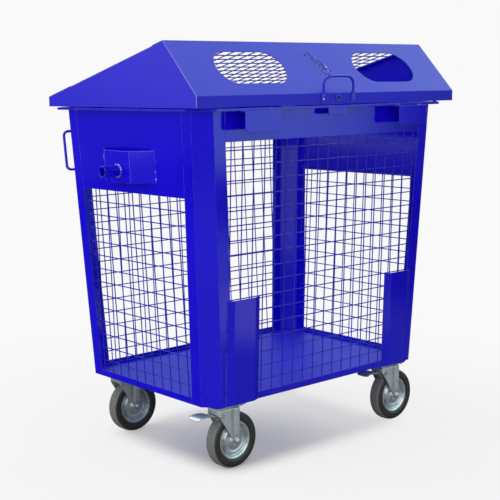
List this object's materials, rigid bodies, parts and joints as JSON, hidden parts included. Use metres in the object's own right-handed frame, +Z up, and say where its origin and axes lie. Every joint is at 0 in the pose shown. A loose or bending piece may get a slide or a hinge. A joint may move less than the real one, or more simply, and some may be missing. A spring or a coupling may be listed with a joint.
{
  "type": "waste container",
  "caption": "Wheeled sorting container for bottles: tapered sheet-and-mesh body with lifting trunnions, swivel castors and a hinged gable lid with throw-in holes and a turn lock.",
  "frame": {"origin": "On the ground, under the middle of the container's overall box.", "axes": "+X along the length, to the right seen from the front; -Y towards the front with the lid handle; +Z up."},
  "size_m": [1.37, 0.909, 1.464],
  "materials": {
    "blue_paint": "gloss ultramarine powder coat",
    "blue_wire": "gloss ultramarine powder coat on welded wire",
    "zinc_steel": "bright zinc plate",
    "pin_steel": "zinc-plated round steel",
    "lock_metal": "painted steel lock parts",
    "tyre_rubber": "solid black rubber, matt",
    "stop_rubber": "black rubber"
  },
  "bodies": {
    "container": {"floor_pan": "blue_paint", "bottom_rails": "blue_paint", "corner_post_front_left": "blue_paint", "corner_post_front_right": "blue_paint", "corner_post_rear_left": "blue_paint", "corner_post_rear_right": "blue_paint", "end_panel_left": "blue_paint", "end_panel_right": "blue_paint", "front_header": "blue_paint", "rear_header": "blue_paint", "mesh_front": "blue_wire", "mesh_rear": "blue_wire", "mesh_left": "blue_wire", "mesh_right": "blue_wire", "top_rim": "blue_paint", "comb_plates": "blue_paint", "striker_plate": "blue_paint", "buffer_plates": "blue_paint", "trunnion_bracket_left": "blue_paint", "trunnion_bracket_right": "blue_paint", "trunnion_left": "blue_paint", "trunnion_right": "blue_paint", "rear_handles": "blue_paint", "castor_pads": "blue_paint", "castor_plates": "zinc_steel", "castor_bolts": "zinc_steel", "hinge_brackets": "blue_paint", "hinge_pins": "pin_steel", "lid_stops": "stop_rubber"},
    "lid": {"lid_front_sheet": "blue_paint", "lid_eave_sheet": "blue_paint", "lid_gable_left": "blue_paint", "lid_gable_right": "blue_paint", "lid_mesh": "blue_wire", "lid_handle": "blue_paint", "handle_rivets": "blue_paint", "lid_hinge_straps": "blue_paint", "lock_face": "lock_metal", "keeper_chain": "blue_paint"},
    "lock": {"lock_barrel": "lock_metal", "lock_hook": "lock_metal"},
    "castor_front_left": {"fork_front_left": "zinc_steel", "axle_front_left": "zinc_steel"},
    "wheel_front_left": {"rim_front_left": "zinc_steel", "tyre_front_left": "tyre_rubber"},
    "castor_front_right": {"fork_front_right": "zinc_steel", "axle_front_right": "zinc_steel"},
    "wheel_front_right": {"rim_front_right": "zinc_steel", "tyre_front_right": "tyre_rubber"},
    "castor_rear_left": {"fork_rear_left": "zinc_steel", "axle_rear_left": "zinc_steel"},
    "wheel_rear_left": {"rim_rear_left": "zinc_steel", "tyre_rear_left": "tyre_rubber"},
    "castor_rear_right": {"fork_rear_right": "zinc_steel", "axle_rear_right": "zinc_steel"},
    "wheel_rear_right": {"rim_rear_right": "zinc_steel", "tyre_rear_right": "tyre_rubber"},
    "brake_left": {"brake_pedal_left": "zinc_steel"},
    "brake_right": {"brake_pedal_right": "zinc_steel"}
  },
  "joints": [
    {"name": "lid_hinge", "type": "hinge", "parent": "container", "child": "lid", "pos_m": [0, 0.4385, 1.258], "axis": [-1, 0, 0], "range_deg": [0, 105]},
    {"name": "lock_turn", "type": "hinge", "parent": "lid", "child": "lock", "pos_m": [0, -0.4135, 1.271], "axis": [0, 1, 0], "range_deg": [-90, 0]},
    {"name": "swivel_front_left", "type": "hinge", "parent": "container", "child": "castor_front_left", "pos_m": [-0.417, -0.2805, 0.22], "axis": [0, 0, 1], "continuous": true},
    {"name": "roll_front_left", "type": "hinge", "parent": "castor_front_left", "child": "wheel_front_left", "pos_m": [-0.377, -0.2805, 0.1], "axis": [0, 1, 0], "continuous": true},
    {"name": "swivel_front_right", "type": "hinge", "parent": "container", "child": "castor_front_right", "pos_m": [0.417, -0.2805, 0.22], "axis": [0, 0, 1], "continuous": true},
    {"name": "roll_front_right", "type": "hinge", "parent": "castor_front_right", "child": "wheel_front_right", "pos_m": [0.457, -0.2805, 0.1], "axis": [0, 1, 0], "continuous": true},
    {"name": "swivel_rear_left", "type": "hinge", "parent": "container", "child": "castor_rear_left", "pos_m": [-0.417, 0.3035, 0.22], "axis": [0, 0, 1], "continuous": true},
    {"name": "roll_rear_left", "type": "hinge", "parent": "castor_rear_left", "child": "wheel_rear_left", "pos_m": [-0.377, 0.3035, 0.1], "axis": [0, 1, 0], "continuous": true},
    {"name": "swivel_rear_right", "type": "hinge", "parent": "container", "child": "castor_rear_right", "pos_m": [0.417, 0.3035, 0.22], "axis": [0, 0, 1], "continuous": true},
    {"name": "roll_rear_right", "type": "hinge", "parent": "castor_rear_right", "child": "wheel_rear_right", "pos_m": [0.457, 0.3035, 0.1], "axis": [0, 1, 0], "continuous": true},
    {"name": "brake_left_press", "type": "hinge", "parent": "castor_front_left", "child": "brake_left", "pos_m": [-0.443, -0.2805, 0.2], "axis": [0, 1, 0], "range_deg": [-16, 0]},
    {"name": "brake_right_press", "type": "hinge", "parent": "castor_front_right", "child": "brake_right", "pos_m": [0.391, -0.2805, 0.2], "axis": [0, 1, 0], "range_deg": [-16, 0]}
  ]
}
